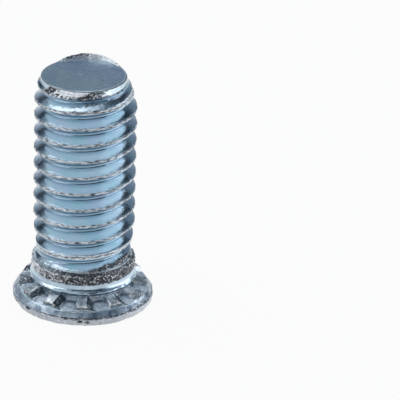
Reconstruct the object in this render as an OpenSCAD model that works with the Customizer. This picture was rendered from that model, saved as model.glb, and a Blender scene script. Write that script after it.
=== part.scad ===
// Self-clinching stud, standing on the flat outer face of its head.
// Millimetres, +Z up along the stud. The origin is the centre of the head's flat face.

/* [Head] */
// Diameter of the head at its widest
head_d = 8.16; // [7.8:0.02:9]
// Thickness of the head between the clinch ribs
head_t = 0.94; // [0.85:0.01:1.1]
// Height of the head's side, up to the edge where its top starts to rise
rim_h = 0.47; // [0.35:0.01:0.6]
// Radius of the rounded edge round the flat face
face_edge_r = 0.14; // [0.05:0.01:0.25]
// How much narrower the head is at its edges than at its widest
rim_draft = 0.05; // [0.01:0.01:0.1]
// Diameter inside which the top of the head is flat
flat_top_d = 7.04; // [6.8:0.02:7.4]

/* [Clinch ribs] */
// Number of ribs round the head
rib_count = 12; // [8:1:14]
// Diameter over the outer ends of the ribs
rib_ring_d = 7.3; // [7.1:0.02:7.5]
// Width of a rib across its top
rib_top_w = 0.58; // [0.3:0.02:0.7]
// Width of a rib at its foot
rib_foot_w = 1.24; // [0.8:0.02:1.3]
// Height of a rib's outer end above the head
rib_end_h = 0.13; // [0.05:0.01:0.3]
// Height of a rib above the head where it meets the bead
rib_h = 0.5; // [0.35:0.01:0.54]
// Direction of the first rib
rib_turn = -91; // [-180:1:180]

/* [Clinch groove, bead and collar] */
// Diameter in the bottom of the clinch groove
groove_d = 5.6; // [5.5:0.02:5.8]
// Distance from the head up to the edge of the bead
groove_h = 0.58; // [0.56:0.01:0.8]
// Radius where the groove runs into the head
groove_foot_r = 0.15; // [0.05:0.01:0.25]
// Diameter of the bead above the groove
bead_d = 6.08; // [6:0.01:6.1]
// Height over which the bead flares out below the waist
bead_flare_h = 0.25; // [0.1:0.01:0.3]
// Diameter of the waist between the bead and the collar
waist_d = 5.89; // [5.8:0.01:5.92]
// Distance from the edge of the bead up to the collar
waist_h = 0.58; // [0.4:0.01:0.8]
// Diameter of the collar, which fills the hole in the sheet
collar_d = 5.97; // [5.92:0.01:6]
// Height of the collar
collar_h = 0.5; // [0.4:0.02:1]
// Chamfer on the collar's upper edge
collar_edge = 0.06; // [0.02:0.01:0.08]
// Diameter of the shoulder on top of the collar
shoulder_d = 5.62; // [5.56:0.02:5.7]
// Height of the shoulder's straight side
shoulder_side_h = 0.12; // [0.05:0.01:0.2]
// Height of the shoulder, which narrows into the start of the thread
shoulder_h = 0.42; // [0.3:0.02:0.6]

/* [Thread] */
// Length of the stud, from the head's flat face to the flat face at the tip
stud_len = 13.9; // [10:0.1:30]
// Diameter over the crests of the thread
major_d = 5.88; // [5.8:0.01:5.9]
// Diameter of the blank, which shows where the thread runs out
blank_d = 5.36; // [5.3:0.01:5.45]
// Distance from one crest to the next
pitch = 1; // [0.75:0.01:1.1]
// Angle between the two flanks of the groove
flank_angle = 60; // [55:1:65]
// Width of the flat on a crest
crest_w = 0.125; // [0.08:0.005:0.16]
// Radius in the bottom of the groove
root_r = 0.144; // [0.1:0.004:0.16]
// Length over which the thread runs out above the collar
runout_len = 1.5; // [0.8:0.1:2]
// Direction in which the thread starts
thread_turn = 146; // [-180:1:180]

/* [Tip] */
// Diameter of the flat face at the tip
tip_d = 4.9; // [4.8:0.02:5.1]
// Length over which the first threads taper towards the tip
tip_taper_len = 1.7; // [1:0.1:3]
// How much nearer the axis the crests are at the small end of that taper
tip_taper = 0.2; // [0.05:0.01:0.3]
// Length over which the groove closes towards the tip's face
tip_close_len = 0.7; // [0.3:0.1:1]

/* [Rolled lip at the tip] */
// Height of the lip that rolling raised beside the tip's face
lip_h = 0.28; // [0.1:0.02:0.4]
// Width of the lip's sloping inner side
lip_w = 0.25; // [0.1:0.05:0.4]
// How much further out the lip stands than the rest of the face's edge
lip_out = 0.1; // [0:0.02:0.15]
// Distance from the axis at which the lip starts to rise out of the face
lip_start = 1; // [0.5:0.1:1.4]
// Slope at which it rises
lip_slope = 13; // [10:1:20]
// Direction in which the lip lies
lip_turn = 90; // [-180:1:180]

/* [Hidden] */

// Steps round what is turned, round each turn of the thread, and along a rounded corner
turned_fn = 64;
turn_steps = 48;
arc_steps = 5;
// How far one form reaches into the next that it is fused with
sink = 0.25;

bead_z = head_t + groove_h;
collar_z = bead_z + waist_h;
collar_top_z = collar_z + collar_h;
thread_z = collar_top_z + shoulder_h - pitch - sink / 2;
lip_top_z = stud_len + lip_h;
waste_top_z = lip_top_z + 3 * pitch;

// Groove of the thread, from the centre of its bottom up to the crest
half_flank = flank_angle / 2;
root_sweep = 90 - half_flank;
root_half_w = root_r * sin(root_sweep);
root_rise = root_r * (1 - cos(root_sweep));
crest_half_w = crest_w / 2;
flank_w = pitch / 2 - crest_half_w - root_half_w;
crest_r = major_d / 2;
bottom_r = crest_r - root_rise - flank_w / tan(half_flank);
root_mid_w = root_r * sin(root_sweep / 2);
root_mid_rise = root_r * (1 - cos(root_sweep / 2));

// One pitch of the thread as [height, radius], from one groove bottom almost to the next
thread_profile = [
    [0, bottom_r],
    [root_mid_w, bottom_r + root_mid_rise],
    [root_half_w, bottom_r + root_rise],
    [pitch / 2 - crest_half_w, crest_r],
    [pitch / 2 + crest_half_w, crest_r],
    [pitch - root_half_w, bottom_r + root_rise],
    [pitch - root_mid_w, bottom_r + root_mid_rise]
];
rows = len(thread_profile);

// The helix runs on past the tip, where the thread is cut off
last_step = ceil(turn_steps * (lip_top_z + sink - thread_z) / pitch);
top_step = last_step - turn_steps;

function share_between(z, low, high) = max(0, min(1, (z - low) / (high - low)));

// Radius of the thread's surface: it fades into the blank at the collar, and it tapers and closes at the tip
function thread_surface(z, r) =
    let (
        formed = share_between(z, collar_top_z, collar_top_z + runout_len),
        tapered = share_between(z, stud_len - tip_taper_len, stud_len),
        open = share_between(stud_len - z, 0, tip_close_len),
        rolled_r = blank_d / 2 + (r - blank_d / 2) * formed,
        limit = crest_r - tip_taper * tapered
    )
    limit - max(0, limit - rolled_r) * open;

function polar(angle, r, z) = [r * cos(angle), r * sin(angle), z];

function step_angle(step) = thread_turn + 360 * step / turn_steps;

function thread_point(step, row) =
    let (z = thread_z + pitch * step / turn_steps + thread_profile[row][0])
    polar(step_angle(step), thread_surface(z, thread_profile[row][1]), z);

function arc_points(centre, r, from, to) = [
    for (i = [0:arc_steps])
        let (angle = from + (to - from) * i / arc_steps)
        centre + r * [cos(angle), sin(angle)]
];

// Head, clinch groove, bead, collar and shoulder, turned from half a section
module turned_base() {
    rim_r = head_d / 2;
    edge_r = rim_r - rim_draft;
    groove_r = groove_d / 2;
    bead_r = bead_d / 2;
    collar_r = collar_d / 2;
    waist_r = waist_d / 2;
    shoulder_r = shoulder_d / 2;
    rotate_extrude($fn = turned_fn)
        polygon(concat(
            [[0, 0]],
            arc_points([edge_r - face_edge_r, face_edge_r], face_edge_r, -90, 0),
            [[rim_r, rim_h - rim_draft]],
            [[edge_r, rim_h]],
            [[flat_top_d / 2, head_t]],
            arc_points([groove_r + groove_foot_r, head_t + groove_foot_r], groove_foot_r, 270, 180),
            [[groove_r, bead_z - (bead_r - groove_r)]],
            [[bead_r, bead_z]],
            [[waist_r, bead_z + bead_flare_h]],
            [[waist_r, collar_z - (collar_r - waist_r)]],
            [[collar_r, collar_z]],
            [[collar_r, collar_top_z - collar_edge]],
            [[collar_r - collar_edge, collar_top_z]],
            [[shoulder_r, collar_top_z]],
            [[shoulder_r, collar_top_z + shoulder_side_h]],
            [[blank_d / 2 - sink / 2, collar_top_z + shoulder_h]],
            [[0, collar_top_z + shoulder_h]]
        ));
}

// One rib that grips the sheet: a gusset from the bead down to the head, with sloping sides
module clinch_rib() {
    start_r = groove_d / 2 - sink;
    end_r = rib_ring_d / 2;
    foot_z = head_t - sink / 2;
    foot = rib_foot_w / 2;
    top = rib_top_w / 2;
    polyhedron(
        points = [
            [start_r, -foot, foot_z],
            [end_r, -foot, foot_z],
            [end_r, foot, foot_z],
            [start_r, foot, foot_z],
            [groove_d / 2, -top, head_t + rib_h],
            [end_r, -top, head_t + rib_end_h],
            [end_r, top, head_t + rib_end_h],
            [groove_d / 2, top, head_t + rib_h]
        ],
        faces = [
            [0, 1, 2, 3],
            [4, 7, 6, 5],
            [0, 4, 5],
            [0, 5, 1],
            [1, 5, 6, 2],
            [2, 6, 7],
            [2, 7, 3],
            [3, 7, 4, 0]
        ]
    );
}

module clinch_ribs() {
    for (i = [0:rib_count - 1])
        rotate([0, 0, rib_turn + 360 * i / rib_count])
            clinch_rib();
}

// Right-hand thread as one closed skin. Its points run up the helix, row by row of the profile.
// A ring of plain points closes each end: the lower one inside the collar, the upper one past the tip.
module thread_skin() {
    low_z = thread_z - sink / 2;
    high_z = lip_top_z + 2 * pitch;
    skin = [
        for (step = [0:last_step])
            for (row = [0:rows - 1])
                thread_point(step, row)
    ];
    low_ring = [for (step = [0:turn_steps - 1]) polar(step_angle(step), blank_d / 2, low_z)];
    high_ring = [for (step = [0:turn_steps - 1]) polar(step_angle(top_step + step), tip_d / 2, high_z)];

    function at(step, row) = step * rows + row;
    function on_low(step) = len(skin) + step % turn_steps;
    function on_high(step) = len(skin) + turn_steps + step % turn_steps;
    function quad(a, b, c, d) = [[a, c, b], [a, d, c]];

    // Between the rows of one pitch, then from its last row to the first row of the next pitch
    in_pitch = [
        for (step = [0:last_step - 1])
            for (row = [0:rows - 2])
                each quad(at(step, row), at(step + 1, row), at(step + 1, row + 1), at(step, row + 1))
    ];
    to_next_pitch = [
        for (step = [0:top_step - 1])
            each quad(at(step, rows - 1), at(step + 1, rows - 1),
                at(step + 1 + turn_steps, 0), at(step + turn_steps, 0))
    ];
    // Skirt from the lower ring to the first turn, with a fan at the start of the helix
    low_skirt = [
        for (step = [0:turn_steps - 2])
            each quad(on_low(step), on_low(step + 1), at(step + 1, 0), at(step, 0))
    ];
    low_fan_rim = concat(
        [on_low(0)],
        [for (row = [0:rows - 1]) at(0, row)],
        [at(turn_steps, 0), at(turn_steps - 1, 0)]
    );
    low_fan = [
        for (i = [0:len(low_fan_rim) - 2])
            [on_low(turn_steps - 1), low_fan_rim[i + 1], low_fan_rim[i]]
    ];
    // Skirt from the last turn to the upper ring, with a fan at the end of the helix
    high_skirt = [
        for (step = [1:turn_steps - 1])
            each quad(at(top_step + step, rows - 1), at(top_step + step + 1, rows - 1),
                on_high(step + 1), on_high(step))
    ];
    high_fan_rim = concat(
        [on_high(1), on_high(0)],
        [for (row = [rows - 1:-1:0]) at(last_step, row)],
        [at(top_step, rows - 1)]
    );
    high_fan = [
        for (i = [0:len(high_fan_rim) - 2])
            [at(top_step + 1, rows - 1), high_fan_rim[i + 1], high_fan_rim[i]]
    ];
    low_cap = [[for (step = [0:turn_steps - 1]) on_low(step)]];
    high_cap = [[for (step = [turn_steps - 1:-1:0]) on_high(step)]];
    polyhedron(
        points = concat(skin, low_ring, high_ring),
        faces = concat(in_pitch, to_next_pitch, low_skirt, low_fan, high_skirt, high_fan, low_cap, high_cap)
    );
}

// What lies above the tip's flat face and outside its 45 degree chamfer
module beyond_face() {
    face_r = tip_d / 2;
    chamfer = crest_r - face_r + sink;
    rotate_extrude($fn = turned_fn)
        polygon([
            [0, stud_len],
            [face_r, stud_len],
            [face_r + chamfer, stud_len - chamfer],
            [face_r + chamfer, waste_top_z],
            [0, waste_top_z]
        ]);
}

// The tip's waste. On the lip's side the face turns up about a line across it, to the lip's height.
// The lip is bowl-shaped inside.
module tip_waste() {
    waste_low_z = stud_len - major_d;
    waste_h = waste_top_z - waste_low_z;
    difference() {
        beyond_face();
        translate([lip_start, -major_d, waste_low_z])
            cube([major_d, 2 * major_d, waste_h]);
    }
    intersection() {
        translate([lip_start, 0, stud_len])
            rotate([0, -lip_slope, 0])
                translate([lip_out - lip_start, 0, -stud_len])
                    beyond_face();
        translate([lip_start, -major_d, waste_low_z])
            cube([major_d, 2 * major_d, waste_h]);
    }
    translate([0, -major_d, lip_top_z])
        cube([major_d, 2 * major_d, waste_top_z - lip_top_z]);
    translate([0, 0, stud_len])
        cylinder(h = 2 * lip_h, r1 = tip_d / 2 - lip_w, r2 = tip_d / 2 + lip_w, $fn = turned_fn);
}

// The rolled thread, finished at the tip
module threaded_shank() {
    difference() {
        thread_skin();
        rotate([0, 0, lip_turn])
            tip_waste();
    }
}

module stud() {
    color([0.6, 0.69, 0.75])
        union() {
            turned_base();
            clinch_ribs();
            threaded_shank();
        }
}

stud();
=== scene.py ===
import math
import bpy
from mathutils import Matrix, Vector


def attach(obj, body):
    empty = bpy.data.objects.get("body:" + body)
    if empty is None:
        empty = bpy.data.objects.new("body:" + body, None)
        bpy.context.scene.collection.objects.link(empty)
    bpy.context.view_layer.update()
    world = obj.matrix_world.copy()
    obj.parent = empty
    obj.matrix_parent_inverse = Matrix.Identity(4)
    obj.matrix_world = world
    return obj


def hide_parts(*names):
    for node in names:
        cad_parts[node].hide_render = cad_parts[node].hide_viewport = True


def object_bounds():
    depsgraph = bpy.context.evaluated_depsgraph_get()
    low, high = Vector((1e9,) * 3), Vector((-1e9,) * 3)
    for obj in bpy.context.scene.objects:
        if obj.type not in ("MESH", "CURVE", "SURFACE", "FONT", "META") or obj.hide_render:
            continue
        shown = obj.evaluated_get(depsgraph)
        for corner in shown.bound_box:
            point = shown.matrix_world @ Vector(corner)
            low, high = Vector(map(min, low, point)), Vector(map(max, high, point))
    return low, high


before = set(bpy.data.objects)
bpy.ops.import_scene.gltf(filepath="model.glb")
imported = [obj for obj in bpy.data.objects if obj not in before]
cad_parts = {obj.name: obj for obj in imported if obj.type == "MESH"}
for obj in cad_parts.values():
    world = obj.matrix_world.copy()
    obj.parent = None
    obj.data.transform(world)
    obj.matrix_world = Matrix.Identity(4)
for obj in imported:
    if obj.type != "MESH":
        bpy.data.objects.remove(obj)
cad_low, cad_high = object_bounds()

from types import SimpleNamespace

import bmesh
import bpy
from mathutils import Matrix, Vector, noise

scene = bpy.context.scene
MM = 0.001

# Camera
# A long lens looks down on the stud from the front, as in the photograph, and is rolled by under a degree.
# The stud stands left of the middle: the centre of its head's flat face falls on one known pixel.
PICTURE_PX = 400
BASE_PIXEL = (82.83, 294.6)
LENS_PX = 3256.0
SENSOR_WIDTH_MM = 36.0
CAMERA_DISTANCE = 190 * MM
CAMERA_ELEVATION = math.radians(26.75)
CAMERA_ROLL = math.radians(0.9)


def put_in_scene(name, data):
    item = bpy.data.objects.new(name, data)
    scene.collection.objects.link(item)
    return item


def make_camera():
    # Directions in the lens's own axes: x right, y down, z into the picture
    middle = PICTURE_PX / 2
    base_right, base_down = ((pixel - middle) / LENS_PX for pixel in BASE_PIXEL)
    to_base = Vector((base_right, base_down, 1)).normalized()
    level_right = Vector((0, 1, 0)).cross(to_base).normalized()
    level_down = to_base.cross(level_right)
    right = level_right * math.cos(CAMERA_ROLL) + level_down * math.sin(CAMERA_ROLL)
    down = level_down * math.cos(CAMERA_ROLL) - level_right * math.sin(CAMERA_ROLL)
    up = -down * math.cos(CAMERA_ELEVATION) - to_base * math.sin(CAMERA_ELEVATION)
    away = to_base * math.cos(CAMERA_ELEVATION) - down * math.sin(CAMERA_ELEVATION)
    # The rows turn a lens direction into the stud's axes
    lens_to_stud = Matrix((right, away, up))
    data = bpy.data.cameras.new("photo_camera")
    data.sensor_width = SENSOR_WIDTH_MM
    data.lens = LENS_PX / PICTURE_PX * SENSOR_WIDTH_MM
    data.clip_start = 0.01
    data.clip_end = 20
    camera = put_in_scene("photo_camera", data)
    look = lens_to_stud @ Matrix.Diagonal((1, -1, -1))
    camera.matrix_world = Matrix.Translation(lens_to_stud @ to_base * -CAMERA_DISTANCE) @ look.to_4x4()
    scene.camera = camera


make_camera()

# Floor, background and light
# A white card under the stud, which keeps its shadow, in a dim room that is lighter on the camera's left.
# Soft boxes and black cards stand round it, because polished plating shows only what it mirrors.
FLOOR_RADIUS = 1.5
FLOOR_COLOUR = (0.84, 0.84, 0.85)
CARD_WHITE = (1.0, 1.0, 1.0)
CARD_BLACK = (0.03, 0.04, 0.05)
CARD_SHARE = 0.93
BRIGHT_SIDE_DIRECTION = (0.98, -0.17, 0.0)
BRIGHT_SIDE_MORE = 0.32


def feed(tree, socket, value):
    """Gives an input of a node another node's output, a colour or a plain value."""
    if isinstance(value, Reading):
        tree.links.new(value.socket, socket)
    elif socket.type == "RGBA":
        socket.default_value = (*value, 1)
    else:
        socket.default_value = value


def add_node(tree, kind, inputs, output=0, **settings):
    """Adds a node with its settings and inputs, and returns one of its outputs."""
    node = tree.nodes.new(kind)
    for setting, value in settings.items():
        setattr(node, setting, value)
    for name, value in inputs.items():
        feed(tree, node.inputs[name], value)
    return Reading(tree, node.outputs[output])


def by_math(operation, swapped=False):
    """A method of Reading that adds one Math node for the reading and any other values."""
    def method(self, *others):
        values = (*others, self) if swapped else (self, *others)
        return add_node(self.tree, "ShaderNodeMath", dict(enumerate(values)), operation=operation)
    return method


class Reading:
    """What an output of a node gives, which differs from place to place. Arithmetic with it adds nodes."""
    __add__ = __radd__ = by_math("ADD")
    __mul__ = __rmul__ = by_math("MULTIPLY")
    __sub__ = by_math("SUBTRACT")
    __rsub__ = by_math("SUBTRACT", swapped=True)
    __truediv__ = by_math("DIVIDE")
    __rtruediv__ = by_math("DIVIDE", swapped=True)
    __pow__ = by_math("POWER")
    __abs__ = by_math("ABSOLUTE")
    at_least = by_math("MAXIMUM")
    at_most = by_math("MINIMUM")
    root = by_math("SQRT")
    fraction = by_math("FRACT")
    rounded = by_math("ROUND")
    sine = by_math("SINE")
    cosine = by_math("COSINE")
    tangent = by_math("TANGENT")
    arctan2 = by_math("ARCTAN2")

    def __init__(self, tree, socket):
        self.tree = tree
        self.socket = socket

    def share(self, low, high, smooth=False):
        """0 below low, 1 above high, and in between along a straight or a smooth rise."""
        rise = "SMOOTHSTEP" if smooth else "LINEAR"
        ends = {"Value": self, "From Min": low, "From Max": high}
        return add_node(self.tree, "ShaderNodeMapRange", ends, interpolation_type=rise)

    def part(self, axis):
        return add_node(self.tree, "ShaderNodeSeparateXYZ", {0: self}, axis)

    def vector_math(self, operation, other, output="Vector"):
        return add_node(self.tree, "ShaderNodeVectorMath", {0: self, **other}, output, operation=operation)

    def noise(self, scale, detail=2.0):
        """Soft random values about 0.5 over these places, with that many bumps to a unit."""
        return add_node(self.tree, "ShaderNodeTexNoise", {"Vector": self, "Scale": scale, "Detail": detail})


def vector_of(tree, *values):
    return add_node(tree, "ShaderNodeCombineXYZ", dict(enumerate(values)))


def mixed(share, first, second, blend="MIX"):
    """The first colour, and the second as far as the share goes."""
    node = share.tree.nodes.new("ShaderNodeMix")
    node.data_type = "RGBA"
    node.blend_type = blend
    feed(share.tree, node.inputs["Factor"], share)
    for socket, colour in zip([s for s in node.inputs if s.type == "RGBA"], (first, second)):
        feed(share.tree, socket, colour)
    return Reading(share.tree, next(s for s in node.outputs if s.type == "RGBA"))


def cleared_tree(owner):
    owner.use_nodes = True
    owner.node_tree.nodes.clear()
    return owner.node_tree


def end_shader(shader, kind="Material"):
    output = shader.tree.nodes.new("ShaderNodeOutput" + kind)
    feed(shader.tree, output.inputs["Surface"], shader)


def ray_is(tree, kind):
    return add_node(tree, "ShaderNodeLightPath", {}, "Is %s Ray" % kind)


def mirrored_glow(tree):
    """How brightly the card shows in the metal: 1, and more on its bright side, a painted pool of light in
    place of a lamp out of the picture.
    """
    towards = add_node(tree, "ShaderNodeTexCoord", {}, "Object").vector_math("NORMALIZE", {})
    to_bright_side = towards.vector_math("DOT_PRODUCT", {1: BRIGHT_SIDE_DIRECTION}, "Value")
    more = to_bright_side.share(0.70, 0.92, smooth=True) * BRIGHT_SIDE_MORE
    return ray_is(tree, "Glossy") * more + 1


def mesh_from(shape, name):
    mesh = bpy.data.meshes.new(name)
    shape.to_mesh(mesh)
    shape.free()
    return mesh


def make_floor():
    """The card glows to the camera and in mirrors, but not to the rays that light things."""
    shape = bmesh.new()
    bmesh.ops.create_circle(shape, cap_ends=True, segments=96, radius=FLOOR_RADIUS)
    floor = put_in_scene("floor", mesh_from(shape, "floor"))
    material = bpy.data.materials.new("white_card")
    tree = cleared_tree(material)
    matt = add_node(tree, "ShaderNodeBsdfDiffuse", {"Color": FLOOR_COLOUR})
    glow = add_node(tree, "ShaderNodeEmission", {"Color": CARD_WHITE, "Strength": mirrored_glow(tree)})
    seen = ray_is(tree, "Camera").at_least(ray_is(tree, "Glossy")).at_least(ray_is(tree, "Transmission"))
    end_shader(add_node(tree, "ShaderNodeMixShader", {0: seen * CARD_SHARE, 1: matt, 2: glow}))
    floor.data.materials.append(material)


# Colour of the room by the sine of the height above the horizon, on its lit side and on its dark side
LIT_SIDE = (
    (0.00, (0.50, 0.52, 0.55)),
    (0.20, (0.54, 0.57, 0.61)),
    (0.45, (0.56, 0.60, 0.64)),
    (0.80, (0.56, 0.60, 0.64)),
    (0.95, (0.50, 0.54, 0.58)),
    (1.00, (0.36, 0.40, 0.45)),
)
DARK_SIDE = (
    (0.00, (0.52, 0.55, 0.60)),
    (0.12, (0.40, 0.44, 0.50)),
    (0.30, (0.20, 0.25, 0.31)),
    (0.45, (0.19, 0.24, 0.31)),
    (0.85, (0.15, 0.20, 0.25)),
    (0.95, (0.26, 0.31, 0.37)),
    (1.00, (0.36, 0.40, 0.45)),
)
LIT_SIDE_DIRECTION = (-0.84, -0.54, 0.0)
# Black cards round the stud: compass bearings from straight back, then heights, all in degrees
FLAGS = (
    ("right_flag", 35, 58, 33, 54),
    ("right_high_flag", 44, 61, 55, 77),
    ("front_flag", 128, 210, 20, 42),
    ("left_flag", -50, -24, 18, 31),
)
FLAG_DISTANCE = 0.35
FLAG_STEPS = 12
# Soft boxes: bearing and height of the middle, half the width and half the height seen from the stud, all in
# degrees, and brightness
SOFT_BOXES = (
    ("left_box", -108, 27, 25, 7, 1.35),
    ("left_high_box", -64, 65, 15, 20, 1.25),
    ("right_box", 80, 42, 11, 7, 0.9),
    ("back_box", 12, 51, 9, 5, 1.4),
    ("pad_box", -6, 56, 20, 8, 1.3),
    ("right_low_box", 92, 12, 31, 13, 1.35),
    ("top_box", 36, 81, 7, 4.5, 0.65),
)
BOX_DISTANCE = 0.3


def make_room():
    """The room above the card, from its horizon up to the zenith. The camera itself sees plain white."""
    world = bpy.data.worlds.new("room")
    tree = cleared_tree(world)
    towards = add_node(tree, "ShaderNodeTexCoord", {}, "Generated")
    walls = []
    for heights in (DARK_SIDE, LIT_SIDE):
        ramp = tree.nodes.new("ShaderNodeValToRGB")
        for height, colour in heights[1:-1]:
            ramp.color_ramp.elements.new(height)
        for element, (height, colour) in zip(ramp.color_ramp.elements, heights):
            element.color = (*colour, 1)
        feed(tree, ramp.inputs["Fac"], towards.part("Z"))
        walls.append(Reading(tree, ramp.outputs["Color"]))
    lit = towards.vector_math("DOT_PRODUCT", {1: LIT_SIDE_DIRECTION}, "Value").share(-0.1, 0.6, smooth=True)
    room = add_node(tree, "ShaderNodeBackground", {"Color": mixed(lit, *walls)})
    white = add_node(tree, "ShaderNodeBackground", {"Color": CARD_WHITE})
    seen = add_node(tree, "ShaderNodeMixShader", {0: ray_is(tree, "Camera"), 1: room, 2: white})
    end_shader(seen, "World")
    scene.world = world


def direction(bearing, height):
    """A direction from the stud: bearing 0 is straight back and 90 is right, both angles in degrees."""
    bearing, height = math.radians(bearing), math.radians(height)
    level = math.cos(height)
    return Vector((level * math.sin(bearing), level * math.cos(bearing), math.sin(height)))


def soft_box(name, bearing, height, half_width, half_height, brightness):
    """A flat area light that faces the stud. Brightness is its radiance, where 1 is white."""
    data = bpy.data.lights.new(name, "AREA")
    data.shape = "RECTANGLE"
    data.size = 2 * BOX_DISTANCE * math.tan(math.radians(half_width))
    data.size_y = 2 * BOX_DISTANCE * math.tan(math.radians(half_height))
    data.energy = brightness * math.pi * data.size * data.size_y
    lamp = put_in_scene(name, data)
    lamp.visible_camera = False
    towards = direction(bearing, height)
    lamp.location = towards * BOX_DISTANCE
    lamp.rotation_mode = "QUATERNION"
    lamp.rotation_quaternion = towards.to_track_quat("Z", "Y")


def black_card():
    material = bpy.data.materials.new("black_card")
    end_shader(add_node(cleared_tree(material), "ShaderNodeBsdfDiffuse", {"Color": CARD_BLACK}))
    return material


def make_flag(material, name, left, right, low, high):
    """A black card that only the metal mirrors, curved round the stud."""
    shape = bmesh.new()
    columns = []
    for i in range(FLAG_STEPS + 1):
        bearing = left + (right - left) * i / FLAG_STEPS
        places = [direction(bearing, height) * FLAG_DISTANCE for height in (low, high)]
        columns.append([shape.verts.new(place) for place in places])
    for here, there in zip(columns, columns[1:]):
        shape.faces.new((here[0], there[0], there[1], here[1]))
    flag = put_in_scene(name, mesh_from(shape, name))
    flag.data.materials.append(material)
    flag.visible_camera = flag.visible_diffuse = flag.visible_shadow = False


make_floor()
make_room()
black = black_card()
for flag in FLAGS:
    make_flag(black, *flag)
for box in SOFT_BOXES:
    soft_box(*box)
scene.view_settings.view_transform = "Standard"

# Stud blank and rolled thread
# The stud is headed cold from steel wire and its thread is rolled, so the crests are torn and the flanks
# smooth. The helix is right-handed with a 1 mm pitch. It runs out above the collar and closes at the tip.
STUD_LENGTH = cad_high.z - cad_low.z
LIP_HEIGHT = 0.28 * MM
FACE_HEIGHT = STUD_LENGTH - LIP_HEIGHT
PITCH = 1.0 * MM
CREST_RADIUS = 2.94 * MM
FIRST_ROOT_HEIGHT = 1.895 * MM
NECK_TOP = 2.8 * MM
EDGE_ROUND = 0.09 * MM
FACE_SHIFT = -0.125 * MM
# The named inputs of the thread's tree
THREAD_SIZES = {
    "Turns": math.ceil((STUD_LENGTH + LIP_HEIGHT - FIRST_ROOT_HEIGHT) / PITCH) + 1.0,
    "Steps per turn": 208,
    "Rows per pitch": 26,
    "Start angle": math.radians(146) - math.tau,
    "Pitch": PITCH,
    "First root height": FIRST_ROOT_HEIGHT - PITCH,
    "Neck top": NECK_TOP,
    "Crest radius": CREST_RADIUS,
    "Half crest width": 0.0625 * MM,
    "Crest round": 0.025 * MM,
    "Half flank angle": math.radians(30),
    "Root round": 0.144 * MM,
    "Collar top": 2.6 * MM,
    "Runout length": 0.3 * MM,
    "Groove from": 2.98 * MM,
    "Groove to": 3.22 * MM,
    "Low crests from": 3.0 * MM,
    "Low crests to": 5.0 * MM,
    "Low crest loss": 0.23 * MM,
    "Blank radius": 2.68 * MM,
    "Shoulder radius": 2.60 * MM,
    "Shoulder edge height": 2.80 * MM,
    "Shoulder slope": 1.7,
    "Shoulder swell": 0.20 * MM,
    "Face height": FACE_HEIGHT,
    "Edge round": EDGE_ROUND,
    "Face radius": 2.45 * MM,
    "Face shift": FACE_SHIFT,
    "Taper length": 1.6 * MM,
    "Taper": 0.2 * MM,
    "Closing length": 0.7 * MM,
    "Oval": 0.15 * MM,
    "Chamfer slope": 0.13,
    "Chamfer depth": 0.27 * MM,
    "Chamfer spread": 1.7,
    "Lip height": 0.30 * MM,
    "Lip overhang": 0.05 * MM,
    "Rim wave": 0.03 * MM,
    "Seam depth": 0.045 * MM,
    "Tear depth": 0.10 * MM,
    "Pit depth": 0.09 * MM,
    "Merge distance": 0.002 * MM,
}
# How far the rows of the grid crowd towards the crest: 0 is even, 1 is all
ROW_BUNCHING = 0.72
# Bearings round the axis, with -90 degrees towards the camera: the middle of the lip, of the wedge of
# painted shade over the collar, of the chamfer that stayed plated and is darkened by painted shade, of the
# first crest's peeled seam, of the fuller shoulder and of the front of the chamfer
LIP_BEARING = math.radians(80)
SHADE_WEDGE_BEARING = math.radians(-45)
CALM_BEARING = math.radians(-162)
PEEL_BEARING = math.radians(-88)
FULLEST_SHOULDER = math.radians(172)
FRONT_BEARING = math.radians(-100)
# Height up to which the wedge of painted shade reaches, heights between which the seam peeled, and how far
# each fades
SHADE_WEDGE_TO = 3.42 * MM
SHADE_WEDGE_FADE = 0.08 * MM
PEEL_FROM = 11.9 * MM
PEEL_TO = 13.2 * MM
PEEL_FADE = 0.2 * MM
# Patterns that wrap the thread are laid out round this radius, in mm
PATTERN_RADIUS = 2.6
# Arcs of the chamfer that rolling tore bare, as middle and half width in degrees, and how they slant
TORN_ARCS = (
    (-72, 10),
    (-131, 8),
    (28, 20),
    (96, 26),
    (150, 15),
)
ARC_SLANT = 0.7 / MM
# Nicks that handling left in the crests, as angle in degrees, height, reach and depth in mm
NICKS = (
    (-73, 10.80, 0.13, 0.10),
    (-95, 11.74, 0.10, 0.07),
    (-112, 7.66, 0.09, 0.05),
    (-64, 6.83, 0.10, 0.06),
    (40, 9.05, 0.12, 0.08),
)


def keep_share(geometry, name, share):
    """Stores a share from 0 to 1 at each point of the mesh, for its material to read."""
    kind = "GeometryNodeStoreNamedAttribute"
    inputs = {"Geometry": geometry, "Name": name, "Value": share}
    return add_node(geometry.tree, kind, inputs, data_type="FLOAT", domain="POINT")


def start_tree(name, sizes):
    """A Geometry Nodes tree with a named input for each size, and those inputs as readings under their names
    in small letters."""
    tree = bpy.data.node_groups.new(name, "GeometryNodeTree")
    kinds = {int: "Int", float: "Float", bpy.types.Object: "Object", bpy.types.Material: "Material"}
    tree.interface.new_socket(name="Geometry", in_out="INPUT", socket_type="NodeSocketGeometry")
    for size, value in sizes.items():
        tree.interface.new_socket(name=size, in_out="INPUT", socket_type="NodeSocket" + kinds[type(value)])
    tree.interface.new_socket(name="Geometry", in_out="OUTPUT", socket_type="NodeSocketGeometry")
    sockets = [socket for socket in tree.nodes.new("NodeGroupInput").outputs if socket.name]
    given = {socket.name.lower().replace(" ", "_"): Reading(tree, socket) for socket in sockets}
    return tree, SimpleNamespace(**given)


def end_tree(geometry, material):
    tree = geometry.tree
    real = add_node(tree, "GeometryNodeRealizeInstances", {"Geometry": geometry})
    finished = add_node(tree, "GeometryNodeSetMaterial", {"Geometry": real, "Material": material})
    feed(tree, tree.nodes.new("NodeGroupOutput").inputs[0], finished)


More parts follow.
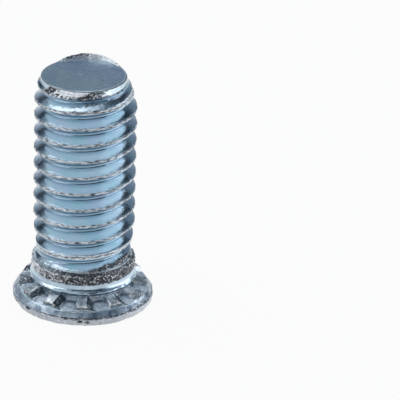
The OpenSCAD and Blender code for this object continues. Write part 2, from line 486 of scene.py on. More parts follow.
def mesh_from_tree(name, tree, sizes, start_mesh):
    """Runs the tree once with its sizes and returns the result as a plain mesh."""
    holder = put_in_scene(name, start_mesh)
    modifier = holder.modifiers.new(name, "NODES")
    modifier.node_group = tree
    for item in tree.interface.items_tree:
        if item.in_out == "INPUT" and item.name in sizes:
            modifier[item.identifier] = sizes[item.name]
    evaluated = holder.evaluated_get(bpy.context.evaluated_depsgraph_get())
    mesh = bpy.data.meshes.new_from_object(evaluated)
    bpy.data.objects.remove(holder)
    mesh.name = name
    return mesh


def thread_tree(sizes):
    """A flat grid wound up the helix: x counts the turns and y goes once across the thread's profile."""
    tree, given = start_tree("rolled_thread", sizes)
    grid = add_node(tree, "GeometryNodeMeshGrid", {
        "Size X": given.turns,
        "Size Y": 1,
        "Vertices X": given.turns * given.steps_per_turn + 1,
        "Vertices Y": given.rows_per_pitch + 1,
    })
    on_grid = add_node(tree, "GeometryNodeInputPosition", {})
    turns = on_grid.part("X") + given.turns * 0.5
    # The rows lie closest together along the crest, where the surface is torn
    row = on_grid.part("Y") + 0.5
    across = row + (row * math.tau).sine() * (ROW_BUNCHING / math.tau)
    angle = given.start_angle + turns * math.tau
    side = angle.cosine()
    back = angle.sine()

    def towards(bearing, low, high):
        """1 on the side of the stud at that bearing and 0 away from it, by the cosine between them."""
        return (angle - bearing).cosine().share(low, high)

    # The lip that rolling raised at the back of the tip, higher and lower along its ragged edge
    ragged = vector_of(tree, side, back).noise(7.0, 4.0) - 0.5
    fine_ragged = vector_of(tree, side, back).noise(21.0) - 0.5
    lip_share = towards(LIP_BEARING, 0.55, 1.0) ** 1.7
    lip = lip_share * given.lip_height
    tear = (ragged * 0.5 + fine_ragged * 0.35) * lip
    face_edge = given.face_height - lip_share.share(0.25, 0.0) * given.edge_round
    top = face_edge + ragged * given.rim_wave + (lip + tear)

    # Height up the helix, held between the neck and the tip's rim
    free = given.first_root_height + given.pitch * (turns + across)
    height = free.at_least(given.neck_top).at_most(top)

    # Radius of the thread's profile: flat crest, straight flanks, round root
    from_root = (height - given.first_root_height) / given.pitch
    phase = (from_root - turns).fraction()
    over_crest = phase - 0.5
    off_crest = abs(over_crest) * given.pitch
    past_crest = off_crest - given.half_crest_width
    soft_past = (past_crest ** 2 + given.crest_round ** 2).root()
    slope = given.half_flank_angle.tangent()
    flank = given.crest_radius - (past_crest + soft_past) * 0.5 / slope
    off_root = given.pitch * 0.5 - off_crest
    arc_reach = given.root_round * given.half_flank_angle.cosine()
    arc_rise = (given.root_round ** 2 - off_root.at_most(arc_reach) ** 2).root()
    sharp_root = given.crest_radius - (given.pitch * 0.5 - given.half_crest_width) / slope
    arc_middle = sharp_root + given.root_round / given.half_flank_angle.sine()
    profile = flank.at_least(arc_middle - arc_rise)

    # It fades into the blank above the collar, where the shoulder's cone comes through
    formed = height.share(given.collar_top, given.collar_top + given.runout_length)
    off_blank = profile - given.blank_radius
    raised = off_blank.at_least(0) * formed
    root_height = (phase.rounded() - phase) * given.pitch + height
    sunk = off_blank.at_most(0) * root_height.share(given.groove_from, given.groove_to)
    rolled = given.blank_radius + (raised + sunk)
    shoulder = towards(FULLEST_SHOULDER, 0.3, 0.9) * given.shoulder_swell + given.shoulder_radius
    cone = shoulder - (height - given.shoulder_edge_height) * given.shoulder_slope
    filled = height.share(given.low_crests_from, given.low_crests_to)
    low_crest = given.crest_radius - (1 - filled) * given.low_crest_loss
    flattened = (profile - low_crest).share(-0.03 * MM, 0.01 * MM)
    # Just above the collar the last crest swells again to meet it
    swell = given.crest_radius - (height - given.neck_top) * given.shoulder_slope
    rolled = rolled.at_most(low_crest.at_least(swell)).at_least(cone)

    # It tapers towards the tip, is a little oval there, and its groove closes under the rim
    near_tip = height.share(given.face_height - given.taper_length, given.face_height)
    squeezed = side ** 2 * near_tip.share(0.1, 0.5, smooth=True)
    tapered = given.crest_radius - near_tip * given.taper - squeezed * given.oval
    rim = given.face_radius + lip_share * given.lip_overhang
    # The chamfer is steep under the rim and then spreads to the full radius
    down_from_rim = top - height
    spread = (down_from_rim - given.chamfer_depth).at_least(0) * given.chamfer_spread
    chamfer = rim + down_from_rim * given.chamfer_slope + spread
    limit = tapered.at_most(chamfer)
    open_share = ((given.face_height - height) / given.closing_length).at_least(0).at_most(1)
    whole_radius = limit - (limit - rolled).at_least(0) * open_share

    # Where the surface is torn by the rolls: along the crests, and on the chamfer under the rim
    half_crest = given.half_crest_width
    at_limit = (limit - whole_radius).share(0.05 * MM, 0.0) * near_tip.share(0.35, 0.65)
    crest_share = off_crest.share(half_crest * 1.8, half_crest).at_least(flattened * 0.3)
    on_crest = (crest_share * formed).at_least(at_limit)
    near_crest = (off_crest.share(half_crest * 2.6, half_crest) * formed).at_least(at_limit * 0.6)
    on_chamfer = (tapered - chamfer).share(-0.02 * MM, 0.04 * MM)

    # Rolling folds the crest from both sides and leaves a shallow seam that wanders along it
    along = (from_root - phase) * (math.tau * CREST_RADIUS / MM)
    wander = vector_of(tree, along).noise(0.9, 3.0) - 0.5
    seam = abs(over_crest - wander * 0.14).share(0.045, 0.0, smooth=True)
    open_seam = vector_of(tree, along, 7.0).noise(1.3, 3.0).share(0.38, 0.62)
    rough = vector_of(tree, along, over_crest * 4).noise(3.6, 4.0) - 0.47
    cut = (seam * open_seam * given.seam_depth + rough * given.tear_depth) * near_crest

    # The chamfer is bare low down and along the torn arcs, with frayed edges and pits, but calm on the left
    place_round = vector_of(tree, side * PATTERN_RADIUS, back * PATTERN_RADIUS, height * (1 / MM))
    calm = towards(CALM_BEARING, 0.90, 0.96)
    not_calm = 1 - calm
    bare = down_from_rim.share(0.22 * MM, 0.31 * MM) * 0.8 * not_calm
    slanted = down_from_rim * ARC_SLANT + angle
    for middle, half_width in TORN_ARCS:
        outside, inside = (math.cos(math.radians(half_width * part)) for part in (1.5, 0.45))
        bare = bare.at_least((slanted - math.radians(middle)).cosine().share(outside, inside))
    frays = place_round.noise(6.5, 3.0) - 0.5
    bare = (bare + (frays * not_calm * 2.7 + ragged * 0.4)).share(0.50, 0.66)
    torn_chamfer = on_chamfer * bare
    plated_chamfer = on_chamfer - torn_chamfer
    below_edge = on_chamfer * down_from_rim.share(0.01 * MM, 0.07 * MM)
    pits = place_round.noise(4.6, 3.0).share(0.36, 0.60) * below_edge * (bare + 0.10)
    cut = cut * (1 - plated_chamfer * 0.75) + pits * given.pit_depth
    crest_place = vector_of(tree, side * given.crest_radius, back * given.crest_radius, height)
    for degrees, nick_height, reach, depth in NICKS:
        turn = math.radians(degrees)
        nick = (CREST_RADIUS * math.cos(turn), CREST_RADIUS * math.sin(turn), nick_height * MM)
        away = crest_place.vector_math("DISTANCE", {1: nick}, "Value")
        cut = cut + away.share(reach * MM, 0.0, smooth=True) * (depth * MM)
    radius = whole_radius - cut
    shift = given.face_shift * near_tip.share(0.0, 1.0, smooth=True)
    wound = vector_of(tree, radius * side + shift, radius * back, height)

    # Painted shade: a dark wedge on the flank just above the collar, towards the front right, shown as bare
    # steel
    shade_wedge_width = towards(SHADE_WEDGE_BEARING, 0.62, 0.95) * 0.24
    shade_wedge_top = frays * 0.25 + over_crest - shade_wedge_width
    shade_wedge = over_crest.share(0.04, 0.07) * shade_wedge_top.share(0.05, 0.0) * shade_wedge_width.share(0.0, 0.05)
    shade_wedge = shade_wedge * height.share(SHADE_WEDGE_TO, SHADE_WEDGE_TO - SHADE_WEDGE_FADE)
    # Above the seam of the first crest the plating peeled in front
    peel_top = frays * 0.30 + over_crest
    peel = peel_top.share(0.015, 0.035) * peel_top.share(0.10, 0.075) * towards(PEEL_BEARING, 0.88, 0.96)
    peel = peel * height.share(PEEL_FROM, PEEL_FROM + PEEL_FADE) * height.share(PEEL_TO, PEEL_TO - PEEL_FADE)
    # From here the wedge of painted shade also holds the peel, which is real wear
    shade_wedge = shade_wedge.at_least(peel)

    # What the plating has to know of the surface
    in_groove = phase.share(0.20, 0.10).at_least(phase.share(0.80, 0.93)) * formed
    shares = {
        "crest": on_crest * (1 - plated_chamfer),
        # The torn and bare shares also carry the wedge of painted shade
        "torn": torn_chamfer.at_least(shade_wedge),
        # Painted shade: the roots of the grooves, and the plated left of the chamfer, are darkened
        "groove": in_groove.at_least(calm * on_chamfer * 0.8),
        "bare": bare.at_least(shade_wedge * 1.5),
        "chamfer": on_chamfer * towards(FRONT_BEARING, 0.45, 0.95),
        "along": along,
        "over": over_crest,
    }
    kept = grid
    for name, share in shares.items():
        kept = keep_share(kept, name, share)
    thread = add_node(tree, "GeometryNodeSetPosition", {"Geometry": kept, "Position": wound})
    merging = {"Geometry": thread, "Distance": given.merge_distance}
    end_tree(add_node(tree, "GeometryNodeMergeByDistance", merging), given.material)
    return tree


# How many times finer the torn places are along the axis than round it
TEAR_SQUEEZE = 2.0
# How far the pattern of the head's streaks runs to a radian, and how far off the axis the face's turned
# rings lie, in mm
STREAKS_ROUND = 6.5
RINGS_OFF_AXIS = 0.3
BUMP_HEIGHT = 0.030 * MM
# Colours of the plating: three that mingle on the smooth flanks, and those of its worn, torn and coined
# places
FLANK_TEAL = (0.475, 0.650, 0.735)
FLANK_LILAC = (0.560, 0.655, 0.770)
FLANK_PALE = (0.600, 0.720, 0.800)
# Tint of the painted shade in the grooves, in the ring under the collar and on the left of the chamfer
PAINTED_SHADE_TINT = (0.520, 0.600, 0.660)
CREST_GREY = (0.560, 0.610, 0.655)
TORN_LIGHT = (0.850, 0.880, 0.915)
TORN_MIDDLE = (0.220, 0.230, 0.255)
TORN_DARK = (0.050, 0.055, 0.064)
COINED_PALE = (0.780, 0.870, 0.970)
COINED_GREY = (0.500, 0.590, 0.680)
DRAWN_SLATE = (0.560, 0.650, 0.730)
STREAK_DARK = (0.320, 0.360, 0.430)
STREAK_CLEAR = (1.000, 1.000, 1.000)
RIM_GREY = (0.430, 0.460, 0.505)
FACE_SLATE = (0.430, 0.550, 0.680)
FACE_GREEN = (0.470, 0.600, 0.655)
FACE_PALE = (0.700, 0.800, 0.850)
RIB_GREY = (0.300, 0.350, 0.390)
RIB_PALE = (0.760, 0.810, 0.850)
# Colour of the painted shade on the ribs' sheared sides and outer ends
RIB_SHADE_GREY = (0.085, 0.110, 0.130)
CHAMFER_PALE = (0.800, 0.835, 0.885)
CHAMFER_GREY = (0.560, 0.605, 0.665)
SPECK_LIGHT = (0.900, 0.910, 0.930)
SPECK_DARK = (0.070, 0.070, 0.085)


def zinc_plating():
    """Bright zinc under a pale blue passivation, cloudy on the flanks and specked wherever steel is torn."""
    material = bpy.data.materials.new("zinc_plating")
    tree = cleared_tree(material)
    place = add_node(tree, "ShaderNodeTexCoord", {}, "Object").vector_math("SCALE", {"Scale": 1 / MM})
    x, y, z = (place.part(axis) for axis in "XYZ")

    def kept(name):
        return add_node(tree, "ShaderNodeAttribute", {}, "Fac", attribute_name=name)

    crest, chamfer, torn, groove = (kept(name) for name in ("crest", "chamfer", "torn", "groove"))
    bare, coined, rim, drawn = (kept(name) for name in ("bare", "coined", "rim", "drawn"))
    face, rib, sheared = (kept(name) for name in ("face", "rib", "sheared"))

    clouds = place.noise(0.9, 3.0)
    haze = place.noise(0.35)
    coarse = place.noise(3.0, 4.0)
    grain = place.noise(8.0, 3.0)
    dust = place.noise(22.0)
    tears = vector_of(tree, kept("along"), kept("over") * 4).noise(3.2, 4.0)
    # Tears run round the axis, so their pattern is squeezed along it
    squeezed = place.vector_math("MULTIPLY", {1: (1, 1, TEAR_SQUEEZE)})
    flakes = squeezed.noise(5.5, 3.0)
    speckle = squeezed.noise(9.0)

    colour = mixed(clouds.share(0.36, 0.64), FLANK_TEAL, FLANK_LILAC)
    colour = mixed(haze.share(0.42, 0.70) * 0.7, colour, FLANK_PALE)
    # Painted shade darkens the grooves, the ring under the collar and the left of the chamfer
    colour = mixed(groove, colour, PAINTED_SHADE_TINT, "MULTIPLY")
    face_colour = mixed(haze.share(0.40, 0.62), FACE_SLATE, FACE_GREEN)
    finishes = (
        (face, mixed(coarse.share(0.50, 0.72) * 0.5, face_colour, FACE_PALE)),
        (rim, RIM_GREY),
        (drawn, DRAWN_SLATE),
        (coined, mixed(coarse.share(0.42, 0.60), COINED_PALE, COINED_GREY)),
        (rib, mixed(coarse.share(0.38, 0.60), RIB_GREY, RIB_PALE)),
        # Painted shade on the ribs' sheared sides and outer ends
        (rib * sheared, RIB_SHADE_GREY),
        (crest, CREST_GREY),
        (chamfer, mixed(grain.share(0.46, 0.62), CHAMFER_PALE, CHAMFER_GREY)),
    )
    for share, finish in finishes:
        colour = mixed(share, colour, finish)
    # The slope of the head was drawn out by the die, which left streaks down it
    streaks = vector_of(tree, y.arctan2(x) * STREAKS_ROUND, z).noise(1.3, 3.0).share(0.38, 0.62)
    colour = mixed(drawn, colour, mixed(streaks, STREAK_DARK, STREAK_CLEAR), "MULTIPLY")
    # Torn steel is pale where the plating took and dark where it stayed bare
    # The bare share also carries painted shade: the wedge above the collar, the rim's top edge, the shaded
    # stretches, the pads beside the ribs, the dents, the lip's fold and the face's edge
    took = coarse * 0.25 + flakes * 0.40 + speckle * 0.35 - (bare - 0.5) * 0.22
    torn_colour = mixed(took.share(0.38, 0.49), TORN_DARK, TORN_MIDDLE)
    colour = mixed(torn, colour, mixed(took.share(0.49, 0.59), torn_colour, TORN_LIGHT))

    # Specks, thickest where the steel is torn or worn
    worn = (torn * 0.7).at_least(rib * 0.6).at_least(rim.at_least(coined) * 0.45)
    pale = (grain.share(0.56, 0.66) * worn).at_least(tears.share(0.54, 0.62) * crest)
    dark = (grain.share(0.41, 0.33) * worn).at_least(tears.share(0.47, 0.41) * crest)
    colour = mixed(dark, mixed(pale, colour, SPECK_LIGHT), SPECK_DARK)

    roughness = clouds * 0.09 + 0.13
    rougher = ((crest, 0.12), (torn, 0.28), (coined, 0.26), (rim, 0.22), (drawn, 0.16), (rib, 0.12),
        (face, 0.10), (chamfer, 0.10))
    for share, more in rougher:
        roughness = roughness + share * more

    # Fine bumps: the grain of the plating, stronger where it is worn, and turned rings on the face
    from_middle = ((x + RINGS_OFF_AXIS) ** 2 + y ** 2).root()
    rings = vector_of(tree, from_middle).noise(7.0) * (face * 0.5)
    worn = worn.at_least(crest)
    grit = grain * (worn * 0.8 + 0.24) + dust * (worn * 0.4 + 0.05) + coarse * (face * -0.45 + 0.5)
    bump = add_node(tree, "ShaderNodeBump", {"Distance": BUMP_HEIGHT, "Height": grit + rings}, "Normal")

    end_shader(add_node(tree, "ShaderNodeBsdfPrincipled", {
        "Base Color": colour,
        "Metallic": coined * -0.55 + (crest * -0.35 + 1),
        "Roughness": roughness,
        "Normal": bump,
    }))
    return material


plating = zinc_plating()

# Points down the turned neck and head, as radius and height in mm, with the steps of each stretch from the
# point before and the finish that the stretch has
NECK_AND_HEAD = (
    # The first stretch, under the thread, is darkened with painted shade, as torn steel
    (2.93, 2.62, 4, "shade_wedge"),
    (2.985, 2.56, 2, "ragged"),
    (2.985, 2.12, 12, "torn"),
    (2.95, 2.07, 2, "torn"),
    (2.945, 1.86, 4, "ring"),
    (2.952, 1.815, 1, "bright"),
    (2.968, 1.77, 1, "bright"),
    (2.995, 1.72, 1, "bright"),
    (3.035, 1.665, 1, "bright"),
    (3.085, 1.605, 1, "bright"),
    (3.09, 1.57, 1, "worn"),
    (3.05, 1.52, 1, "worn"),
    (3.02, 1.49, 1, "worn"),
    (2.80, 1.29, 4, "shaded"),
    (2.80, 1.09, 4, "shaded"),
    (2.844, 0.984, 2, "shaded"),
    (2.95, 0.955, 2, "shaded"),
    (3.30, 0.93, 5, "coined"),
    (3.56, 0.875, 4, "coined"),
    (3.74, 0.805, 3, "coined"),
    (3.80, 0.75, 2, "worn"),
    (3.99, 0.52, 7, "drawn"),
    # Painted shade: a dark line along the rim's top edge, shown as torn steel
    (4.040, 0.430, 3, "rim_edge_shade"),
    (4.075, 0.38, 2, "rim"),
    (4.07, 0.18, 6, "rim"),
    (4.04, 0.08, 3, "rim"),
    (3.985, 0.02, 2, "rim"),
    (3.90, 0.0, 2, "rim"),
    (2.0, 0.0, 6, "worn"),
)
# What the plating shows of a finish, each as a share
SHOWN = ("torn", "bare", "coined", "rim", "drawn")
# How far the surface of a finish strays in and out, how many bumps it has to a mm round and along, and what
# the plating shows of it
FINISHES = {
    "bright": (0.010, (2.5, 1.0), (0.0, 0.0, 0.0, 0.0, 0.0)),
    "shade_wedge": (0.030, (3.6, 1.2), (0.9, 1.0, 0.0, 0.0, 0.0)),
    "ring": (0.016, (3.0, 3.0), (0.05, 0.2, 0.0, 0.0, 0.2)),
    "ragged": (0.075, (5.0, 5.5), (0.9, 0.20, 0.0, 0.0, 0.0)),
    "torn": (0.060, (5.5, 7.5), (1.0, 0.85, 0.0, 0.0, 0.0)),
    "worn": (0.014, (3.0, 4.0), (0.1, 0.2, 0.05, 0.1, 0.0)),
    "shaded": (0.016, (2.6, 2.6), (0.45, 0.95, 0.0, 0.0, 0.3)),
    "coined": (0.036, (2.8, 2.8), (0.0, 0.0, 1.0, 0.0, 0.0)),
    "drawn": (0.034, (1.6, 0.4), (0.0, 0.0, 0.0, 0.0, 1.0)),
    "rim_edge_shade": (0.020, (3.0, 3.0), (0.8, 0.95, 0.0, 0.0, 0.0)),
    "rim": (0.030, (1.8, 3.0), (0.0, 0.0, 0.0, 1.0, 0.0)),
}
# Bearing at which the collar is darkest
DARKEST_COLLAR_ANGLE = math.radians(-62)
RIB_COUNT = 12
FIRST_RIB_DEGREES = -91
# The pad is darkened with painted shade beside a rib's sheared side, shown as bare steel, up to the first of
# these angles past the rib's middle, and plated again from the second, in degrees
PAD_SHADE_TO = (10.5, 15.0)
# Only what lies outside this radius can be dented, in mm
RIM_FROM = 3.9
# Dents in the rim, as angle in degrees, height, reach and depth in mm, and how many times longer than high
# they are
RIM_DENTS = (
    (-160, 0.12, 0.30, 0.10),
    (-92, 0.30, 0.16, 0.06),
    (-86, 0.26, 0.14, 0.07),
    (-141, 0.38, 0.22, 0.05),
    (-104, 0.44, 0.13, 0.05),
    (18, 0.30, 0.25, 0.08),
    (97, 0.40, 0.20, 0.06),
)
DENT_LENGTH = 1.6


def held(value):
    """The value, or 0 or 1 where it is past them."""
    return max(0, min(1, value))


def eased(share):
    return share * share * (3 - 2 * share)


def open_loop(shape, wanted):
    """The vertices of the open edge that wanted picks, in order round the axis."""
    found = {v for e in shape.edges if e.is_boundary for v in e.verts if wanted(v.co)}
    return sorted(found, key=lambda v: math.atan2(v.co.y, v.co.x))


def add_ring(shape, last_ring, places):
    """Joins a new ring of vertices to the last one, facing outwards when rings are added downwards."""
    ring = [shape.verts.new(place) for place in places]
    for i in range(len(ring)):
        shape.faces.new((last_ring[i - 1], ring[i - 1], ring[i], last_ring[i]))
    return ring


def keep_levels(shape, vertex, levels):
    for name, level in levels.items():
        vertex[shape.verts.layers.float[name]] = level


def stray(finish, radius, angle, along):
    """How far the surface lies off its true shape, in mm, at an angle and a distance down the profile."""
    reach, (bumps_round, bumps_along), _ = FINISHES[finish]
    bumps = radius * bumps_round
    place = Vector((math.cos(angle) * bumps, math.sin(angle) * bumps, along * bumps_along))
    return reach * noise.fractal(place, 0.7, 2.1, 4)


def dent_depth(angle, radius, height):
    depth = 0
    for degrees, dent_height, reach, deepest in RIM_DENTS:
        off = math.remainder(angle - math.radians(degrees), math.tau) * radius
        share = max(0, 1 - math.hypot(off / DENT_LENGTH, height - dent_height) / reach)
        depth += deepest * eased(share)
    return depth


def level_towards(angle):
    """The collar is darkest at the front right and least dark at the back left."""
    return max(0.1, 0.35 + 0.8 * math.cos(angle - DARKEST_COLLAR_ANGLE))


def levels_at(finish, radius, angle, place):
    """What the plating shows of a finish at one place."""
    levels = dict(zip(SHOWN, FINISHES[finish][2]))
    # The ring under the collar gets half the painted shade of the grooves
    if finish == "ring":
        levels["groove"] = 0.5
    elif finish == "torn":
        levels["bare"] = level_towards(angle)
    elif finish == "ragged":
        levels["bare"] = 0.7 * level_towards(angle) - 0.15
    # The rim's top edge and the band under the thread are darkened with painted shade, as torn steel
    elif finish in ("rim_edge_shade", "shade_wedge"):
        levels["torn"] = min(1, level_towards(angle) + 0.15)
    # The rim is dark in its dents: partly torn steel, partly painted shade
    elif finish == "rim":
        levels["torn"] = levels["bare"] = min(1, dent_depth(angle, radius, place.z / MM) / 0.03)
    elif finish == "coined":
        # Painted shade on the pad beside a rib's sheared side, shown as torn bare steel
        past = (math.degrees(angle) - FIRST_RIB_DEGREES) % (360 / RIB_COUNT)
        past += 2.2 * noise.noise(place * 2.5 / MM)
        pad_shade = held((PAD_SHADE_TO[1] - past) / (PAD_SHADE_TO[1] - PAD_SHADE_TO[0]))
        levels["torn"] = 0.7 * pad_shade
        levels["bare"] = 1.15 * pad_shade
    return levels


def add_neck_and_head(shape):
    """Rings from the thread's lower edge down to the head's flat face, each worn as its finish is."""
    ring = open_loop(shape, lambda place: place.z < NECK_TOP + 0.1 * MM)
    angles = [math.atan2(v.co.y, v.co.x) for v in ring]
    radii = [v.co.xy.length / MM for v in ring]
    height = ring[0].co.z / MM
    down = 0
    for next_radius, next_height, steps, finish in NECK_AND_HEAD:
        wider = next_radius - sum(radii) / len(radii)
        length = math.hypot(wider, next_height - height)
        out = Vector((height - next_height, wider)) / length
        for i in range(1, steps + 1):
            share = i / steps
            z = height + (next_height - height) * share
            places = []
            for a, radius in zip(angles, radii):
                r = radius + (next_radius - radius) * share
                off = stray(finish, r, a, down + length * share) if z > 0 else 0
                dent = dent_depth(a, r, z) if r > RIM_FROM else 0
                worn_r = (r + out.x * off - dent) * MM
                places.append((worn_r * math.cos(a), worn_r * math.sin(a), (z + out.y * off) * MM))
            ring = add_ring(shape, ring, places)
            for v, a in zip(ring, angles):
                keep_levels(shape, v, levels_at(finish, next_radius, a, v.co))
        down += length
        radii = [next_radius] * len(ring)
        height = next_height
    shape.faces.new(ring[::-1])


# Depths in from the rim of the tip's flat face, in mm, at which it has a ring of points
FACE_RINGS = (0.006, 0.02, 0.04, 0.06, 0.08, 0.10, 0.12, 0.14, 0.17, 0.22, 0.34, 0.6, 1.0, 1.4,
    1.6, 1.7, 1.8, 1.9, 2.0, 2.1, 2.18, 2.25, 2.31, 2.36, 2.40)
# How wide the lip is and at what depth it folds into the face, in mm
LIP_WIDTH = 0.17
LIP_FOLD = 0.19
# The lip is torn bare on its left, and pale to the right of this place across, in mm, partly as a painted
# highlight
LIP_HIGHLIGHT_FROM = -0.1
# The face's edge is dark to this depth, worn bare on the left and painted shade on the right, and brighter
# between these depths, a painted highlight, in mm
EDGE_DARK_TO = 0.07
EDGE_HIGHLIGHT = (0.03, 0.13)
# The mark in the middle of the face, as place from its centre, reach and depth in mm
FACE_MARK = (-0.28, -0.15, 0.42, 0.026)


def face_levels(across, risen, depth):
    """What the plating shows of the lip and face: that far in from the rim, where the rim lies that far
    across to the right and has risen that far, all in mm."""
    on_lip = held(risen / 0.05) * held(1.6 - 1.5 * depth / LIP_WIDTH)
    # A painted highlight along the face's rim, stronger to the right, given the pale coined colour
    painted_edge_highlight = 0.08 + 0.25 * held(across + 1) if EDGE_HIGHLIGHT[0] < depth < EDGE_HIGHLIGHT[1] else 0
    levels = {
        "face": 1 - on_lip,
        "coined": (1 - on_lip) * painted_edge_highlight,
        "torn": on_lip,
        # Pale on the lip's right: partly torn steel, partly a painted highlight
        "bare": 0.60 - 0.7 * held((across - LIP_HIGHLIGHT_FROM) / 0.5) - 2.6 * depth,
    }
    # The face's edge is dark: worn bare on the left, painted shade on the right
    worn_and_shaded_edge = max(0, 0.5 * min(1, -across), 0.75 * min(1, 2 * across - 2)) if depth < EDGE_DARK_TO else 0
    # Painted shade: a dark line where the lip folds into the face, shown as bare torn steel
    fold_shade = max(0, 1 - abs(depth - LIP_FOLD) / 0.07) * min(1, risen / 0.04)
    for torn, bare in ((worn_and_shaded_edge, 1), (fold_shade, 1.2)):
        if torn > levels["torn"]:
            levels.update(torn=torn, bare=bare)
    return levels


def add_tip_face(shape):
    """The flat end, from the ragged rim inwards. At the back it rises into the lip."""
    ring = open_loop(shape, lambda place: place.z > STUD_LENGTH / 2)[::-1]
    centre = Vector((FACE_SHIFT, 0, FACE_HEIGHT))
    mark_x, mark_y, mark_reach, mark_depth = (size * MM for size in FACE_MARK)
    rim = [v.co.copy() for v in ring]
    for depth in FACE_RINGS:
        places = []
        for edge in rim:
            outward = (edge - centre).xy
            spot = outward.normalized() * (outward.length - depth * MM)
            risen = edge.z - FACE_HEIGHT
            if risen < 0:
                settle = 1 - math.sqrt(1 - max(0, 1 - depth * MM / EDGE_ROUND) ** 2)
            else:
                settle = 1 - eased(min(1, depth / LIP_WIDTH))
            marked = max(0, 1 - (spot - Vector((mark_x, mark_y))).length / mark_reach) * mark_depth
            rough = 1 + noise.noise(Vector((spot.x, spot.y, 0)) * 5 / MM)
            height = FACE_HEIGHT + risen * settle - marked * rough
            places.append((centre.x + spot.x, centre.y + spot.y, height))
        ring = add_ring(shape, ring, places)
        for v, edge in zip(ring, rim):
            keep_levels(shape, v, face_levels(edge.x / MM, (edge.z - FACE_HEIGHT) / MM, depth))
    shape.faces.new(ring[::-1])


def make_body():
    sizes = {**THREAD_SIZES, "Material": plating}
    thread = mesh_from_tree("rolled_thread", thread_tree(sizes), sizes, bpy.data.meshes.new("empty"))
    shape = bmesh.new()
    shape.from_mesh(thread)
    for name in ("coined", "rim", "drawn", "face"):
        shape.verts.layers.float.new(name)
    add_neck_and_head(shape)
    add_tip_face(shape)
    bmesh.ops.recalc_face_normals(shape, faces=shape.faces)
    shape.to_mesh(thread)
    shape.free()
    return thread


body_mesh = make_body()

# Clinch ribs
# Twelve gussets under the bead, forged with the head, which stop the stud from turning in the sheet. Cold
# heading leaves each a little different, with worn corners. They run down onto the head's flat ring.
RIB_START = 2.6 * MM
RIB_END = 3.70 * MM
RIB_FOOT_HEIGHT = 0.72 * MM
RIB_HIGH = 1.45 * MM
RIB_LOW = 1.08 * MM
# How far a rib's foot reaches to each side: -1 is clockwise round the axis, 1 is the sheared side
RIB_FOOT_REACH = {-1: 0.47 * MM, 1: 0.92 * MM}
RIB_TOP_WIDTH = 0.58 * MM
RIB_CORNER = 0.035 * MM
# A rib is darkened with painted shade where it faces round the axis, at its sheared side, and away from the
# axis, at its outer end. How much it faces that way times its distance from the axis runs from the first to
# the second of these where the painted shade comes in. At the outer end it also starts only under the top
# edge, at these heights.
SIDE_SHADE_BETWEEN = (0.5 * MM, 1.3 * MM)
END_SHADE_BETWEEN = (2.2 * MM, 3.1 * MM)
END_SHADE_UNDER = (1.06 * MM, 1.01 * MM)
SHARP_ANGLE = math.radians(35)


def rib_mesh():
    """One gusset along +X at its real radius, with its corners rounded."""
    shape = bmesh.new()
    corners = {}
    for end, x, top in (("inner", RIB_START, RIB_HIGH), ("outer", RIB_END, RIB_LOW)):
        for side in (-1, 1):
            corners[end, side, "foot"] = shape.verts.new((x, side * RIB_FOOT_REACH[side], RIB_FOOT_HEIGHT))
            corners[end, side, "top"] = shape.verts.new((x, side * RIB_TOP_WIDTH / 2, top))
    for end in ("inner", "outer"):
        order = ((-1, "foot"), (-1, "top"), (1, "top"), (1, "foot"))
        shape.faces.new([corners[end, side, level] for side, level in order])
    for level, way in (("top", 1), ("foot", -1)):
        order = (("inner", -way), ("outer", -way), ("outer", way), ("inner", way))
        shape.faces.new([corners[end, side, level] for end, side in order])
    for side in (-1, 1):
        order = (("inner", "foot"), ("outer", "foot"), ("outer", "top"), ("inner", "top"))
        shape.faces.new([corners[end, side, level] for end, level in order])
    bmesh.ops.recalc_face_normals(shape, faces=shape.faces)
    above = RIB_FOOT_HEIGHT + RIB_CORNER
    worn = [e for e in shape.edges if all(v.co.z > above for v in e.verts)]
    worn += [e for e in shape.edges if {v.co.z > above for v in e.verts} == {True, False}
        and max(v.co.x for v in e.verts) > RIB_START + RIB_CORNER]
    bmesh.ops.bevel(shape, geom=worn, offset=RIB_CORNER, segments=2, profile=0.6, affect="EDGES")
    return mesh_from(shape, "rib")


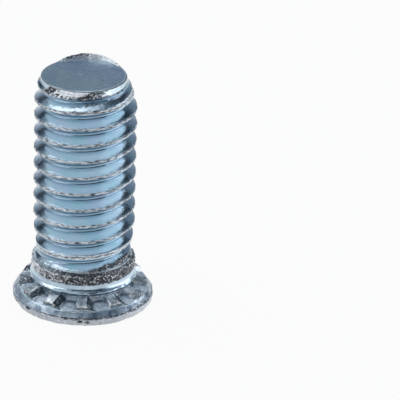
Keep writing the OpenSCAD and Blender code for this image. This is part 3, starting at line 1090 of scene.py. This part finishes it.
def rib_tree(sizes):
    """Sets the ribs round the head, each turned and sized a little differently, and fuses them on."""
    tree, given = start_tree("clinch_ribs", sizes)

    def random_between(low, high, seed):
        node = tree.nodes.new("FunctionNodeRandomValue")
        for name, value in (("Min", low), ("Max", high)):
            feed(tree, next(s for s in node.inputs if s.name == name and s.type == "VALUE"), value)
        feed(tree, node.inputs["Seed"], given.seed + seed)
        return Reading(tree, next(s for s in node.outputs if s.type == "VALUE"))

    number = add_node(tree, "GeometryNodeInputIndex", {})
    turn = number * (math.tau / given.ribs) + given.first_rib_angle
    turn = turn + random_between(given.stray_angle * -1, given.stray_angle, 1)
    spread = given.size_spread
    width = random_between(1 - spread, 1 + spread, 2)
    rise = spread * random_between(-0.5, 0.3, 3) + 1
    ribs = add_node(tree, "GeometryNodeInstanceOnPoints", {
        "Points": add_node(tree, "GeometryNodeMeshCircle", {"Vertices": given.ribs, "Radius": 0}),
        "Instance": add_node(tree, "GeometryNodeObjectInfo", {"Object": given.rib}, "Geometry"),
        "Rotation": vector_of(tree, 0, 0, turn),
        "Scale": vector_of(tree, 1, width, rise),
    })
    ribs = add_node(tree, "GeometryNodeRealizeInstances", {0: ribs})
    ribs = add_node(tree, "GeometryNodeSubdivideMesh", {"Mesh": ribs, "Level": 2})

    # Wear moves the surface in and out
    here = add_node(tree, "GeometryNodeInputPosition", {})
    outward = add_node(tree, "GeometryNodeInputNormal", {})
    move = outward.vector_math("SCALE", {"Scale": (here.noise(3.8 / MM) - 0.5) * given.wear})
    ribs = add_node(tree, "GeometryNodeSetPosition", {"Geometry": ribs, "Offset": move})

    # The sides that face anticlockwise and the outer ends were sheared, and are darkened with painted shade
    x, y = here.part("X"), here.part("Y")
    facing_x, facing_y = outward.part("X"), outward.part("Y")
    side_shade = (x * facing_y - y * facing_x).share(*SIDE_SHADE_BETWEEN)
    end_shade = (x * facing_x + y * facing_y).share(*END_SHADE_BETWEEN)
    end_shade = end_shade * here.part("Z").share(*END_SHADE_UNDER)
    ribs = keep_share(keep_share(ribs, "rib", 1.0), "sheared", side_shade.at_least(end_shade))

    meshes = {"Mesh 2": given.geometry}
    fused = add_node(tree, "GeometryNodeMeshBoolean", meshes, operation="UNION", solver="MANIFOLD")
    feed(tree, fused.socket.node.inputs["Mesh 2"], ribs)
    end_tree(fused, given.material)
    return tree


def fused_ribs(mesh):
    rib = put_in_scene("rib", rib_mesh())
    sizes = {
        "Ribs": RIB_COUNT,
        "Rib": rib,
        "First rib angle": math.radians(FIRST_RIB_DEGREES),
        "Stray angle": math.radians(1.6),
        "Size spread": 0.08,
        "Wear": 0.07 * MM,
        "Seed": 4,
        "Material": plating,
    }
    fused = mesh_from_tree("stud", rib_tree(sizes), sizes, mesh)
    bpy.data.objects.remove(rib)
    return fused


stud_mesh = fused_ribs(body_mesh)
stud = put_in_scene("stud_body", stud_mesh)
for polygon in stud_mesh.polygons:
    polygon.use_smooth = True
stud_mesh.set_sharp_from_angle(angle=SHARP_ANGLE)

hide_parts("stud")
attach(stud, "root")
